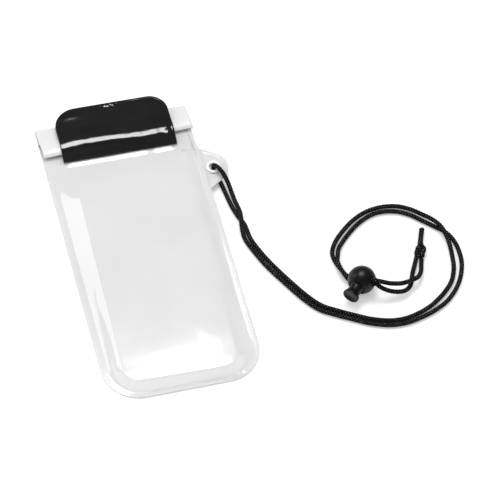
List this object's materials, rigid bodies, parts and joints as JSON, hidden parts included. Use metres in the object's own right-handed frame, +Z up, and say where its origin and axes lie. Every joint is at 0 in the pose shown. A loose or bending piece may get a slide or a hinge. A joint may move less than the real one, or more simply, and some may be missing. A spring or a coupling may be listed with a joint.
{
  "type": "waterproof phone pouch",
  "caption": "Soft clear film pouch for a phone, with a press-seal mouth folded under a black tab and a doubled neck cord with a sprung ball lock.",
  "frame": {"origin": "middle of the pouch with its lug and tab, on the surface that it lies on", "axes": "+Z up out of the front sheet, +Y from the round bottom corners to the folded mouth, +X towards the eyelet's lug"},
  "size_m": [0.2248, 0.2022, 0.0165],
  "materials": {
    "clear_film": "clear soft film, glossy",
    "milky_film": "milky soft film, satin",
    "seal_plastic": "smooth extruded plastic",
    "black_film": "black soft film, glossy",
    "black_fleece": "short looped pile",
    "white_plastic": "moulded, satin",
    "black_plastic": "moulded, semi-gloss",
    "spring_steel": "drawn wire",
    "black_braid": "round woven braid"
  },
  "bodies": {
    "pouch": {"back_sheet": "milky_film", "front_sheet": "clear_film", "seal_groove_strip": "seal_plastic", "seal_rib_strip": "seal_plastic", "tab_lining": "black_film", "tab_cover": "black_film", "loop_patch": "black_fleece", "hook_patch": "black_fleece", "eyelet": "white_plastic", "eyelet_washer": "white_plastic", "lock_ball": "black_plastic", "lock_spring": "spring_steel", "cord_upper_run": "black_braid", "cord_lower_run": "black_braid", "cord_knot": "black_braid", "cord_tail_1": "black_braid", "cord_tail_2": "black_braid"},
    "plunger": {"lock_plunger": "black_plastic"}
  },
  "joints": [
    {"name": "plunger_press", "type": "slide", "parent": "pouch", "child": "plunger", "axis": [0.7071, 0.7071, 0], "range_m": [0, 0.0026], "stiffness_N_per_m": 800, "springref_m": -0.0015, "deforming": ["lock_spring"]}
  ]
}
